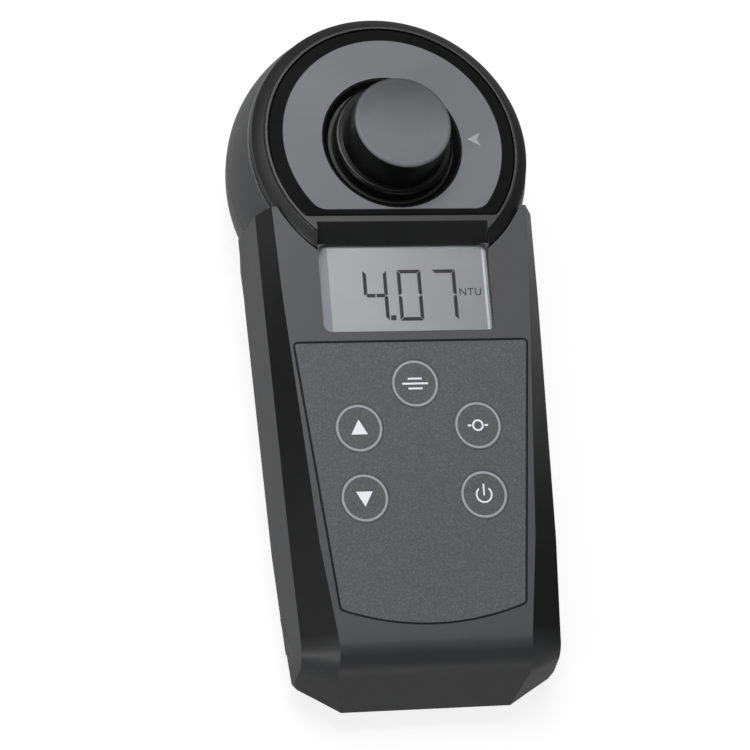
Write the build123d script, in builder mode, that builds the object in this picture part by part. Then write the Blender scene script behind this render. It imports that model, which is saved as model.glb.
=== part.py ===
"""Handheld turbidity meter: a drum-shaped head with a sample well, on a sloping hand-held body.

Millimetres.  The meter lies on its back: +Z is up out of its face, +Y runs from the keys towards
the head, +X is to the right of a user who faces the display.  The origin is the middle of the
outline, on the surface that the back rests on.
"""
import os
from math import cos, radians, sin, sqrt, tan

from build123d import *

os.makedirs("parts", exist_ok=True)

# Overall form
total_length = 155.2
head_radius = 33.8          # greatest radius of the drum, near the parting line
face_height = 36.0          # plane of the head overlay above the back
wall = 2.0                  # wall of both shells
fit = 0.10                  # side clearance between seated pieces
parting_gap = 0.40          # open line between the shells, filled by the gasket

# Drum-shaped head
drum_top_radius = head_radius - 2.0
drum_top_drop = 4.3         # ledge under the bezel, below the face
drum_belly_drop = 17.0      # level of the greatest radius, below the face
drum_foot_radius = head_radius - 5.2  # flat part of the back under the head

# Sloping front
deck_slope = 8.35           # degrees
shoulder_drop = 15.1        # shoulders of the body, below the head's axis
deck_step = 0.75            # front face below the overlay plane, at the shoulders
bend_radius = 9.0           # front rolls over into the lower end
bend_turn = 58.0            # degrees
parting_slope = 6.1         # degrees
parting_drop = 16.65        # parting plane below the face, at the head's axis
end_drop = total_length - head_radius  # lower end below the head's axis

# Half cross-section of the body at stations down the front:
# crease beside the front face, outer edge of the facet, depth of that edge, side wall deep down
top_crease = head_radius - 4.5
top_facet_x = head_radius - 2.1
top_facet_depth = 5.2
top_side_x = head_radius - 0.7
upper_station = 20.0        # distance down the front from the shoulders
upper_crease = 28.0
upper_facet_x = 31.25
upper_facet_depth = 4.35
upper_side_x = 32.9
lower_station = end_drop - 46.9
lower_crease = 24.1
lower_facet_x = 29.85
lower_facet_depth = 3.4
lower_side_x = 32.0
bend_crease = 21.4
bend_facet_x = 28.9
bend_facet_depth = 3.8
bend_side_x = 30.8
end_crease = 19.0
end_facet_x = 29.4
end_facet_depth = 5.8
side_depth = 20.0           # how far down the sections reach
back_inset = 4.2            # the back is this much smaller all round than the parting line
crease_share = 0.6          # share of an inset that a slanted corner moves
end_share = 0.4
end_corner_step = 0.5       # lower corners stand this far out of the end facets
end_corner_round = 5.0      # rounding of the lower corners, seen from the front
end_edge_round = 1.5
barrel_share = 0.30         # how full the curved side of the drum is

# Head bezel, overlay and well ring
bezel_radius = head_radius - 2.3
rim_radius = bezel_radius - 2.75
rim_height = 0.20           # rim stands above the overlay plane
pocket_radius = rim_radius - 0.65
collar_lean = 0.15
collar_drop = 1.9           # edges of the stepped collar, below the face
collar_shelf = 1.2
collar_shelf_drop = 1.1
rim_foot_drop = 0.35
overlay_chord = 17.8        # straight edge of the overlay, below the head's axis
overlay_thickness = 0.9
overlay_corner = 1.3
overlay_edge = 0.25
well_hole = 15.95           # round hole in the overlay
bezel_plate = 2.1           # thickness of the bezel under the overlay
spigot_radius = bezel_radius - 5.1
spigot_wall = 2.0
spigot_chord = 21.2
visor_top = 19.3            # top edge of the slanted visor, below the head's axis
ring_floor_drop = 1.6       # seat of the light shield below the face
ring_depth = 4.5
ring_lip_drop = 0.25
ring_lip = 0.4
ring_gap = 0.05             # round the rim of the well, which is the seat of the light shield

# Display
lcd_half_width = 19.35
lcd_top = 23.7              # top edge of the display, below the head's axis
lcd_bottom = lcd_top + 19.5
lcd_recess = 1.2            # pane below the front face
lcd_pane = 0.8
lcd_thickness = 1.6
lcd_ledge = 1.4
lcd_frame = 1.6             # wall of the frame round the display
lcd_frame_floor = 0.6

# Keypad
pad_top = lcd_bottom + 1.95  # distances below the head's axis
pad_bottom = end_drop - 17.9
pad_low_point = pad_bottom + 3.7
pad_top_half = 26.7
pad_bottom_half = 20.9
pad_thickness = 0.5
pad_corner = 1.2
pad_gap = 0.2               # groove round the keypad sheet
pad_edge = 0.12
key_radius = 5.45
key_half_spacing = 13.35
key_row_pitch = 15.2
read_key_drop = pad_top + 9.75
upper_key_drop = read_key_drop + 9.5
lower_key_drop = upper_key_drop + key_row_pitch
key_gap = 0.05
key_edge = 0.05
dome_gap = 0.05             # between a key's stem at the end of its travel and the pressed dome
key_flange = 6.5
key_flange_thickness = 0.7
key_travel = 0.30
key_stem_radius = 2.2
dome_radius = 3.1
dome_height = 0.5
dome_taper = 60

# Circuit boards
board_depth = 5.0           # top of the main board below the front face
board_thickness = 1.6
board_half_width = 20.5
board_top = 23.4            # ends of the main board, below the head's axis
board_bottom = end_drop - 17.4
board_post_x = 17.9
board_post_upper = 49.0
board_post_lower = board_bottom - 7.5
board_post_radius = 2.2
board_screw_radius = 0.9
board_screw_head_radius = 1.8
board_screw_head_height = 1.0
board_screw_cover = 2.7     # screw tips stay this far below the front face

# Sample vial, cap and light shield
vial_radius = 12.0
vial_wall = 1.2
vial_base = 1.5
vial_shoulder_drop = 8.4
neck_radius = 7.9
neck_foot_drop = 5.4
neck_rise = 4.0
liner_thickness = 0.8
vial_corner = 1.0
shoulder_inner_step = 0.7   # the inside of the shoulder lies this far below its outside
cap_edge = 0.4
cap_radius = 9.3
cap_wall = 1.2
cap_skirt_drop = 4.4
thread_gap = 0.25
shield_flange_radius = 13.5
shield_flange_rise = 1.95
shield_foot_radius = 11.8
shield_top_radius = 10.9
shield_rise = 10.2
shield_wall = 1.2
shield_edge = 0.8           # rounding of its two rims

# Optics
well_gap = 0.35             # between the vial and the well
block_wall = 1.9
block_floor = 1.6
optics_drop = 20.0          # light path below the face
port_radius = 4.0
port_length = 9.0
led_radius = 2.45
led_length = 8.6
led_tip_gap = 0.6
led_tip_slope = 0.5         # share of its radius that the tip slopes in by
block_overlap = 1.2         # a port starts this far inside the block's wall
sensor_board_size = 13.0
sensor_board_thickness = 1.2
band_slack = 1.1            # flat cable beyond the small boards
band_thickness = 0.4
band_half = 2.5
band_end_gap = 0.02

# Batteries
cell_radius = 5.25
cell_length = 44.5
cell_button_radius = 1.9
cell_button_height = 1.0
cell_pitch = 11.1
cell_clearance = 0.3
bay_bottom_gap = 6.3        # from the lower case screws to the battery bay
bay_wall = 1.4
contact_plate = 0.4
contact_size = 8.0
spring_length = 4.0
spring_radius = 2.5
spring_wire = 0.35
spring_turns = 3
cover_thickness = 1.8
cover_lip = 2.0
cover_corner = 2.0
cover_tab_half = 6.0
cover_tab_reach = 6.6       # middle tabs of the cover, beyond the bay
cover_screw_reach = 3.9
seal_thickness = 0.6
seal_inset = 0.2
frame_thickness = 1.8
insert_radius = 2.0
insert_height = 4.0
insert_cover = 1.0          # plastic over the end of an insert

# Screws
screw_radius = 1.25
screw_length = 10.0
screw_head_radius = 2.3
screw_head_height = 1.6
screw_clearance = 0.2
screw_end_gap = 0.5         # hole beyond the tip of a screw
boss_radius = 3.2
boss_rib = 1.6              # thickness of the rib from a screw column to the wall
boss_rib_reach = 8.0
head_screw_xy = 17.8        # from the head's axis
head_screw_seat = 15.0      # seats of the heads above the back
mid_screw_x = 23.8
mid_screw_reach = 7.0       # above the battery bay
mid_screw_seat = 8.0
low_screw_x = 20.0
low_screw_drop = end_drop - 8.8
low_screw_seat = 2.6

# Derived frame
head_y = total_length / 2 - head_radius
end_y = -total_length / 2
slope = radians(deck_slope)
end_angle = radians(deck_slope + bend_turn)
parting_angle = radians(parting_slope)
deck_y = head_y - shoulder_drop
deck_z = face_height - deck_step


def parting_z(y):
    """Height of the parting plane at a place along the meter."""
    return face_height - parting_drop + (y - head_y) * tan(parting_angle)


def down(drop):
    """Distance along the front face, from the shoulders, of a place given below the head's axis."""
    return (shoulder_drop - drop) / cos(slope)


head_axis = Axis((0, head_y, 0), (0, 0, 1))
deck = Plane(origin=(0, deck_y, deck_z), x_dir=(1, 0, 0), z_dir=(0, -sin(slope), cos(slope)))
parting = Plane(
    origin=(0, head_y, parting_z(head_y)),
    x_dir=(1, 0, 0),
    z_dir=(0, -sin(parting_angle), cos(parting_angle)),
)
head_profile = Plane(origin=(0, head_y, face_height), x_dir=(1, 0, 0), z_dir=(0, -1, 0))

# Where the front starts to roll over, so that the lower end meets the parting line at end_y
roll_y = bend_radius * (sin(slope) - sin(end_angle))
roll_z = bend_radius * (cos(end_angle) - cos(slope))
end_rise = parting_z(end_y) - deck_z + (deck_y - end_y + roll_y) * tan(slope) - roll_z
end_run = end_rise / (cos(end_angle) * tan(slope) - sin(end_angle))
bend_y = end_y - roll_y + end_run * cos(end_angle)
bend_station = (bend_y - deck_y) / cos(slope)


def section_plane(station):
    """Cross-section plane of the body, at a distance up the front from the shoulders."""
    origin = deck.from_local_coords((0, station, 0))
    return Plane(origin=origin, x_dir=(1, 0, 0), z_dir=(0, -cos(slope), -sin(slope)))


def half_section(crease, facet_x, facet_depth, side_x, depth, inset):
    """Corner points of a full cross-section, mirrored about the middle."""
    right = [
        (crease - crease_share * inset, -inset),
        (facet_x - inset, -facet_depth - crease_share * inset),
        (side_x - inset, -depth),
    ]
    left = [(-x, z) for x, z in reversed(right)]
    return right + left


def body_form(inset):
    """Upper form of the body: sloping front, facets, side walls and the rolled-over lower end."""
    run_out = 8.0
    axis_point = section_plane(bend_station).from_local_coords((0, -bend_radius, 0))
    stations = [
        (run_out, top_crease, top_facet_x, top_facet_depth, top_side_x),
        (-upper_station, upper_crease, upper_facet_x, upper_facet_depth, upper_side_x),
        (-lower_station, lower_crease, lower_facet_x, lower_facet_depth, lower_side_x),
        (bend_station, bend_crease, bend_facet_x, bend_facet_depth, bend_side_x),
    ]
    end_normal = (0, -cos(end_angle), -sin(end_angle))
    axis_share = (bend_radius - bend_facet_depth) / (side_depth - bend_facet_depth)
    axis_side_x = bend_facet_x + (bend_side_x - bend_facet_x) * axis_share
    with BuildPart() as form:
        for station, crease, facet_x, facet_depth, side_x in stations:
            with BuildSketch(section_plane(station)):
                with BuildLine():
                    corners = half_section(crease, facet_x, facet_depth, side_x, side_depth, inset)
                    Polyline(corners, close=True)
                make_face()
        loft(ruled=True)
        with BuildSketch(section_plane(bend_station)):
            with BuildLine():
                Polyline(
                    half_section(
                        bend_crease, bend_facet_x, bend_facet_depth, axis_side_x, bend_radius, inset
                    ),
                    close=True,
                )
            make_face()
        revolve(axis=Axis(axis_point, (1, 0, 0)), revolution_arc=bend_turn)
        over = 0.5
        for reach in (0.0, end_run + over):
            share = reach / end_run
            crease = bend_crease + (end_crease - bend_crease) * share
            facet_x = bend_facet_x + (end_facet_x - bend_facet_x) * share
            facet_depth = bend_facet_depth + (end_facet_depth - bend_facet_depth) * share
            origin = (
                0,
                axis_point.Y - bend_radius * sin(end_angle) - reach * cos(end_angle),
                axis_point.Z + bend_radius * cos(end_angle) - reach * sin(end_angle),
            )
            with BuildSketch(Plane(origin=origin, x_dir=(1, 0, 0), z_dir=end_normal)):
                with BuildLine():
                    Polyline(
                        half_section(crease, facet_x, facet_depth, bend_side_x, side_depth, inset),
                        close=True,
                    )
                make_face()
        loft(ruled=True)
    return form.part


def drum_form(inset):
    """Drum of the head: a barrel side from the bezel ledge to the flat back."""
    top = -drum_top_drop - inset
    foot = inset - face_height
    belly = -drum_belly_drop
    upper_mid = (belly + top) / 2
    lower_mid = (belly + foot) / 2
    bulge = barrel_share * (head_radius - drum_top_radius)
    tuck = barrel_share * (head_radius - drum_foot_radius)
    with BuildPart() as form:
        with BuildSketch(head_profile):
            with BuildLine():
                if inset < wall:
                    ThreePointArc(
                        (drum_top_radius - inset, top),
                        ((drum_top_radius + head_radius) / 2 + bulge - inset, upper_mid),
                        (head_radius - inset, belly),
                    )
                    ThreePointArc(
                        (head_radius - inset, belly),
                        (head_radius - tuck - inset, lower_mid),
                        (drum_foot_radius - inset, foot),
                    )
                else:
                    Polyline(
                        (drum_top_radius - inset, top),
                        (head_radius - inset, belly),
                        (head_radius - tuck - inset, lower_mid),
                        (drum_foot_radius - inset, foot),
                    )
                Line((drum_foot_radius - inset, foot), (0, foot))
                Line((0, foot), (0, top))
                Line((0, top), (drum_top_radius - inset, top))
            make_face()
        revolve(axis=head_axis)
    return form.part


def side_at_parting(station, facet_x, facet_depth, side_x):
    """Half width and place along the meter where a section's side wall meets the parting plane."""
    rise = parting_z(deck_y) - deck_z + station * (cos(slope) * tan(parting_angle) - sin(slope))
    depth = -rise / (cos(slope) + sin(slope) * tan(parting_angle))
    share = (depth - facet_depth) / (side_depth - facet_depth)
    return facet_x + (side_x - facet_x) * share, deck_y + station * cos(slope) + depth * sin(slope)


shoulder_half, _ = side_at_parting(0, top_facet_x, top_facet_depth, top_side_x)
lower_half, lower_side_y = side_at_parting(
    -lower_station, lower_facet_x, lower_facet_depth, lower_side_x
)
bend_half, bend_side_y = side_at_parting(
    bend_station, bend_facet_x, bend_facet_depth, bend_side_x
)
corner_y = end_y + end_facet_depth / sin(end_angle)


def parting_outline(inset):
    """Outline of the body at the parting line, clockwise from the right shoulder."""
    right = [
        (shoulder_half - inset, deck_y - inset),
        (lower_half - inset, lower_side_y),
        (bend_half - inset, bend_side_y),
        (end_facet_x + end_corner_step - inset, corner_y + end_share * inset),
        (end_crease - end_share * inset, end_y + inset),
    ]
    return right + [(-x, y) for x, y in reversed(right)]


def round_lower_corners(outline):
    """Rounds the four lower corners of an outline, in the sketch that is being built."""
    fillet(outline.vertices().sort_by(Axis.Y)[2:4], end_corner_round)
    fillet(outline.vertices().sort_by(Axis.Y)[0:2], end_edge_round)


def rounded_column(inset):
    """Upright column round the body, with rounded lower corners."""
    reach = 30.0
    slack = 0.03
    with BuildPart() as column:
        with BuildSketch(Plane.XY) as outline:
            with BuildLine():
                (x0, y0), (x1, y1), bend, corner, end = parting_outline(inset - slack)[:5]
                right = [(x0 + reach, y0 + reach), (x1 + reach, y1), bend, corner, end]
                Polyline(right + [(-x, y) for x, y in reversed(right)], close=True)
            make_face()
            round_lower_corners(outline)
        extrude(amount=2 * face_height)
    return column.part


def rear_form(inset):
    """Lower form of the body, tapered from the parting line to the flat back."""
    over = 1.5
    with BuildPart() as form:
        with BuildSketch(parting.offset(over)) as upper:
            with BuildLine():
                flat = [(x, (y - head_y) / cos(parting_angle)) for x, y in parting_outline(inset)]
                Polyline(flat, close=True)
            make_face()
            round_lower_corners(upper)
        with BuildSketch(Plane.XY.offset(inset)) as lower:
            with BuildLine():
                shoulder, side, bend, corner, end = parting_outline(inset + back_inset)[:5]
                right = [(shoulder[0], deck_y - inset), side, bend, corner, end]
                Polyline(right + [(-x, y) for x, y in reversed(right)], close=True)
            make_face()
            round_lower_corners(lower)
        loft(ruled=True)
    return form.part


def above_parting(gap):
    """Everything over the parting plane, raised by a gap."""
    with BuildPart() as space:
        with BuildSketch(parting.offset(gap)):
            Rectangle(4 * head_radius, 2.2 * total_length)
        extrude(amount=2 * face_height)
    return space.part


def below_parting(gap):
    """Everything under the parting plane, lowered by a gap."""
    with BuildPart() as space:
        with BuildSketch(parting.offset(-gap)):
            Rectangle(4 * head_radius, 2.2 * total_length)
        extrude(amount=-2 * face_height)
    return space.part


def below_shoulders(gap):
    """Everything on the key side of the shoulders."""
    depth = total_length
    with BuildPart() as space:
        with BuildSketch(Plane.XY.offset(-face_height)):
            with Locations((0, deck_y - gap - depth / 2)):
                Rectangle(4 * head_radius, depth)
        extrude(amount=3 * face_height)
    return space.part


def upper_housing(inset):
    """Body and drum together, above the parting plane."""
    with BuildPart() as form:
        add(body_form(inset))
        add(rounded_column(inset), mode=Mode.INTERSECT)
        add(below_shoulders(inset), mode=Mode.INTERSECT)
        add(drum_form(inset))
        add(above_parting(0.0), mode=Mode.INTERSECT)
    return form.part


def lower_housing(inset):
    """Body and drum together, below the parting plane."""
    with BuildPart() as form:
        add(rear_form(inset))
        add(drum_form(inset))
        add(below_parting(0.0), mode=Mode.INTERSECT)
    return form.part


def place(drop):
    """Y of a place given below the head's axis."""
    return head_y - drop


# Places in the back: battery bay, its cover and the case screws
bay_half = 2 * cell_pitch + cell_clearance
bay_length = cell_length + spring_length + 2 * contact_plate
bay_bottom = low_screw_drop - bay_bottom_gap
bay_top = bay_bottom - bay_length
mid_screw_drop = bay_top - mid_screw_reach
bay_middle_y = place((bay_top + bay_bottom) / 2)
cover_seat = cover_thickness + seal_thickness
frame_top = cover_seat + frame_thickness
bay_ceiling = cover_seat + 2 * (cell_radius + cell_clearance)
cell_z = cover_seat + cell_clearance + cell_radius
cover_screw_ys = [place(bay_top - cover_screw_reach), place(bay_bottom + cover_screw_reach)]
case_screws_at = [
    (side * x, y, seat)
    for x, y, seat in (
        (head_screw_xy, head_y + head_screw_xy, head_screw_seat),
        (mid_screw_x, place(mid_screw_drop), mid_screw_seat),
        (low_screw_x, place(low_screw_drop), low_screw_seat),
    )
    for side in (-1, 1)
]
rib_turns = [135, 45, 180, 0, 180, 0]  # from each screw column towards its wall

# Places on the front face, as points of the deck plane
board_posts = [
    (side * board_post_x, down(drop))
    for drop in (board_post_upper, board_post_lower)
    for side in (-1, 1)
]
key_places = {
    "read": (0, down(read_key_drop)),
    "up": (-key_half_spacing, down(upper_key_drop)),
    "cal": (key_half_spacing, down(upper_key_drop)),
    "down": (-key_half_spacing, down(lower_key_drop)),
    "power": (key_half_spacing, down(lower_key_drop)),
}
lcd_length = down(lcd_top) - down(lcd_bottom)
lcd_middle = (down(lcd_top) + down(lcd_bottom)) / 2
lcd_floor = lcd_recess + lcd_pane + lcd_thickness
key_foot = board_depth - dome_height - key_travel - dome_gap


def pad_outline(shrink):
    """Outline of the keypad sheet on the front face, with its curved lower edge."""
    top = down(pad_top) - shrink
    bottom = down(pad_bottom) + 0.3 * shrink
    low = down(pad_low_point) + shrink
    top_half = pad_top_half - shrink
    bottom_half = pad_bottom_half - shrink
    with BuildSketch(Plane.XY) as outline:
        with BuildLine():
            Line((-top_half, top), (top_half, top))
            Line((top_half, top), (bottom_half, bottom))
            ThreePointArc((bottom_half, bottom), (0, low), (-bottom_half, bottom))
            Line((-bottom_half, bottom), (-top_half, top))
        make_face()
        fillet(outline.vertices(), pad_corner)
    return outline.sketch


def head_outline(radius, chord, corner):
    """A circle round the head's axis, cut by a straight edge towards the keys."""
    with BuildSketch(Plane.XY) as outline:
        Circle(radius)
        with Locations((0, -chord - radius)):
            Rectangle(2.2 * radius, 2 * radius, mode=Mode.SUBTRACT)
        fillet(outline.vertices(), corner)
    return outline.sketch


def cover_outline(grow):
    """Outline of the battery cover in the back: a rectangle with a screw tab at each end."""
    lip = cover_lip + grow
    with BuildSketch(Plane.XY) as outline:
        with Locations((0, bay_middle_y)):
            RectangleRounded(2 * (bay_half + lip), bay_length + 2 * lip, cover_corner + grow)
            RectangleRounded(
                2 * (cover_tab_half + grow), bay_length + 2 * (cover_tab_reach + grow), cover_corner + grow
            )
    return outline.sketch


def bosses(form, low, high):
    """Screw columns between two heights, kept inside a form."""
    with BuildPart() as columns:
        for (x, y, _), turn in zip(case_screws_at, rib_turns):
            with BuildSketch(Plane.XY.offset(low)):
                with Locations(Location((x, y, 0), (0, 0, turn))):
                    Circle(boss_radius)
                    Rectangle(boss_rib_reach, boss_rib, align=(Align.MIN, Align.CENTER))
            extrude(amount=high - low)
        add(form, mode=Mode.INTERSECT)
    return columns.part


# Front shell: hollow upper housing, open for the bezel, the display, the keys and the screws
with BuildPart() as front_shell:
    add(upper_housing(0.0))
    add(upper_housing(wall), mode=Mode.SUBTRACT)
    add(bosses(upper_housing(wall / 2), 0, face_height - drum_top_drop - wall - fit))
    with BuildSketch(deck.offset(-lcd_floor - lcd_frame_floor)):
        with Locations((0, lcd_middle)):
            Rectangle(2 * (lcd_half_width + lcd_frame), lcd_length + 2 * lcd_frame)
    extrude(amount=lcd_floor + lcd_frame_floor - wall / 2)
    with BuildSketch(deck.offset(-board_depth)):
        with Locations(*board_posts):
            Circle(board_post_radius)
    extrude(amount=board_depth - wall / 2)
    with BuildSketch(Plane.XY.offset(face_height - drum_top_drop)):
        with Locations((0, head_y)):
            Circle(bezel_radius + fit)
    extrude(amount=face_height, mode=Mode.SUBTRACT)
    with BuildSketch(Plane.XY.offset(face_height - drum_top_drop - 2 * wall)):
        with Locations((0, head_y)):
            add(head_outline(spigot_radius + fit, spigot_chord + fit, overlay_corner))
    extrude(amount=face_height, mode=Mode.SUBTRACT)
    with BuildSketch(deck.offset(-lcd_floor)):
        with Locations((0, lcd_middle)):
            Rectangle(2 * lcd_half_width, lcd_length)
    extrude(amount=face_height, mode=Mode.SUBTRACT)
    with BuildSketch(deck.offset(-lcd_floor - wall)):
        with Locations((0, lcd_middle)):
            Rectangle(2 * (lcd_half_width - lcd_ledge), lcd_length - 2 * lcd_ledge)
    extrude(amount=face_height, mode=Mode.SUBTRACT)
    with BuildSketch(deck.offset(-pad_thickness)):
        add(pad_outline(0.0))
    extrude(amount=wall, mode=Mode.SUBTRACT)
    with BuildSketch(deck.offset(-2 * wall)):
        with Locations(*key_places.values()):
            Circle(key_radius + key_gap)
    extrude(amount=4 * wall, mode=Mode.SUBTRACT)
    with BuildSketch(deck.offset(-board_depth)):
        with Locations(*board_posts):
            Circle(board_screw_radius)
    extrude(amount=board_depth - board_screw_cover + fit, mode=Mode.SUBTRACT)
    for x, y, seat in case_screws_at:
        with BuildSketch(Plane.XY.offset(seat)):
            with Locations((x, y)):
                Circle(screw_radius)
        extrude(amount=screw_length + screw_end_gap, mode=Mode.SUBTRACT)

# Rear shell: hollow tray with screw columns and the battery bay, which opens in the back
with BuildPart() as rear_shell:
    add(lower_housing(0.0))
    add(lower_housing(wall), mode=Mode.SUBTRACT)
    add(bosses(lower_housing(wall / 4), wall / 4, face_height))
    with BuildSketch(Plane.XY.offset(wall)):
        add(cover_outline(bay_wall))
    extrude(amount=frame_top - wall)
    with BuildSketch(Plane.XY.offset(wall)):
        with Locations(*[(0, y) for y in cover_screw_ys]):
            Circle(boss_radius)
    extrude(amount=cover_seat + insert_height + insert_cover - wall)
    add(above_parting(-parting_gap), mode=Mode.SUBTRACT)
    with BuildSketch(Plane.XY.offset(wall)):
        with Locations((0, bay_middle_y)):
            Rectangle(2 * (bay_half + bay_wall), bay_length + 2 * bay_wall)
    extrude(amount=bay_ceiling + bay_wall - wall)
    with BuildSketch(Plane.XY):
        add(cover_outline(fit))
    extrude(amount=cover_seat, mode=Mode.SUBTRACT)
    with BuildSketch(Plane.XY):
        with Locations((0, bay_middle_y)):
            Rectangle(2 * bay_half, bay_length)
    extrude(amount=bay_ceiling, mode=Mode.SUBTRACT)
    with BuildSketch(Plane.XY.offset(cover_seat)):
        with Locations(*[(0, y) for y in cover_screw_ys]):
            Circle(insert_radius)
    extrude(amount=insert_height, mode=Mode.SUBTRACT)
    for x, y, seat in case_screws_at:
        with BuildSketch(Plane.XY.offset(seat)):
            with Locations((x, y)):
                Circle(screw_radius + screw_clearance)
        extrude(amount=face_height, mode=Mode.SUBTRACT)
        with BuildSketch(Plane.XY.offset(seat)):
            with Locations((x, y)):
                Circle(screw_head_radius + screw_clearance)
        extrude(amount=-face_height, mode=Mode.SUBTRACT)

# Gasket in the parting line
with BuildPart() as housing_gasket:
    add(lower_housing(wall / 4))
    add(lower_housing(3 * wall / 4), mode=Mode.SUBTRACT)
    add(below_parting(parting_gap), mode=Mode.SUBTRACT)

# Head bezel: stepped collar with the pocket for the overlay and the slanted visor
visor_foot = deck.from_local_coords((0, down(lcd_top), -lcd_recess))
visor_root = deck.from_local_coords((0, down(lcd_top), -face_height))
with BuildPart() as head_bezel:
    with BuildSketch(head_profile):
        with BuildLine():
            Polyline(
                (bezel_radius, -drum_top_drop),
                (bezel_radius - collar_lean, -collar_drop),
                (bezel_radius - collar_shelf, -collar_shelf_drop),
                (rim_radius + collar_lean, -rim_foot_drop),
                (rim_radius, rim_height),
                (0, rim_height),
                (0, -drum_top_drop),
                close=True,
            )
        make_face()
    revolve(axis=head_axis)
    with BuildSketch(Plane.XY.offset(face_height - drum_top_drop)):
        with Locations((0, head_y)):
            add(head_outline(spigot_radius, spigot_chord, overlay_corner))
    extrude(amount=-wall)
    with BuildSketch(Plane.XY.offset(face_height - overlay_thickness)):
        with Locations((0, head_y)):
            add(head_outline(pocket_radius, overlay_chord, overlay_corner))
    extrude(amount=2 * overlay_thickness, mode=Mode.SUBTRACT)
    with BuildSketch(Plane.XY.offset(face_height - overlay_thickness - bezel_plate)):
        with Locations((0, head_y)):
            add(head_outline(spigot_radius - spigot_wall, overlay_chord, overlay_corner))
    extrude(amount=-2 * drum_top_drop, mode=Mode.SUBTRACT)
    with BuildSketch(Plane.XY):
        with Locations((0, head_y)):
            Circle(well_hole)
    extrude(amount=2 * face_height, mode=Mode.SUBTRACT)
    with BuildSketch(Plane.YZ):
        with BuildLine():
            Polyline(
                (place(visor_top), face_height + 2 * wall),
                (place(visor_top), face_height + rim_height),
                (visor_foot.Y, visor_foot.Z),
                (visor_root.Y, visor_root.Z),
                (place(2 * lcd_top), visor_root.Z),
                (place(2 * lcd_top), face_height + 2 * wall),
                close=True,
            )
        make_face()
    extrude(amount=lcd_half_width, both=True, mode=Mode.SUBTRACT)

# Head overlay: glossy plate in the bezel's pocket
with BuildPart() as head_overlay:
    with BuildSketch(Plane.XY.offset(face_height - overlay_thickness)):
        with Locations((0, head_y)):
            add(head_outline(pocket_radius - fit, overlay_chord - fit, overlay_corner))
            Circle(well_hole, mode=Mode.SUBTRACT)
    extrude(amount=overlay_thickness)
    chamfer(head_overlay.faces().sort_by(Axis.Z)[-1].outer_wire().edges(), overlay_edge)

# Well ring: sloping wall round the rim of the well
well_radius = vial_radius + well_gap
block_radius = well_radius + block_wall
with BuildPart() as well_ring:
    with BuildSketch(head_profile):
        with BuildLine():
            Polyline(
                (well_hole - fit, -ring_lip_drop),
                (well_hole - fit - ring_lip, -ring_lip_drop),
                (block_radius + ring_gap, -ring_floor_drop),
                (block_radius + ring_gap, -ring_depth),
                (well_hole - fit, -ring_depth),
                close=True,
            )
        make_face()
    revolve(axis=head_axis)

# Optics block: the well tube, with ports for the source and the photodiode at 90 degrees
port_end = block_radius - block_overlap + port_length
source_port = Plane(
    origin=(-port_end, head_y, face_height - optics_drop), x_dir=(0, 1, 0), z_dir=(1, 0, 0)
)
side_port = Plane(
    origin=(0, head_y - port_end, face_height - optics_drop), x_dir=(1, 0, 0), z_dir=(0, 1, 0)
)
vial_foot = wall + block_floor
with BuildPart() as optics_block:
    with BuildSketch(head_profile):
        with BuildLine():
            Polyline(
                (0, wall - face_height),
                (block_radius, wall - face_height),
                (block_radius, -ring_depth - bay_wall),
                (well_hole - fit, -ring_depth - bay_wall),
                (well_hole - fit, -ring_depth),
                (block_radius, -ring_depth),
                (block_radius, -ring_floor_drop),
                (0, -ring_floor_drop),
                close=True,
            )
        make_face()
    revolve(axis=head_axis)
    for port in (source_port, side_port):
        with BuildSketch(port):
            Circle(port_radius)
        extrude(amount=port_length)
    with BuildSketch(Plane.XY.offset(vial_foot)):
        with Locations((0, head_y)):
            Circle(well_radius)
    extrude(amount=face_height, mode=Mode.SUBTRACT)
    for port in (source_port, side_port):
        with BuildSketch(port):
            Circle(led_radius + fit)
        extrude(amount=led_length + 2 * fit, mode=Mode.SUBTRACT)
        with BuildSketch(port):
            Circle(led_radius / 2)
        extrude(amount=port_end, mode=Mode.SUBTRACT)


def lamp(port):
    """A round light part with a sloping tip, seated in a port."""
    with BuildPart() as body:
        with BuildSketch(port):
            Circle(led_radius)
        extrude(amount=led_length - led_tip_gap)
        chamfer(body.faces().sort_by(Axis(port.origin, port.z_dir))[-1].edges(), led_radius * led_tip_slope)
    return body.part


with BuildPart() as ir_led:
    add(lamp(source_port))
with BuildPart() as scatter_detector:
    add(lamp(side_port))
with BuildPart() as sensor_boards:
    for port in (source_port, side_port):
        with BuildSketch(port):
            Rectangle(sensor_board_size, sensor_board_size)
        extrude(amount=-sensor_board_thickness)

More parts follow.
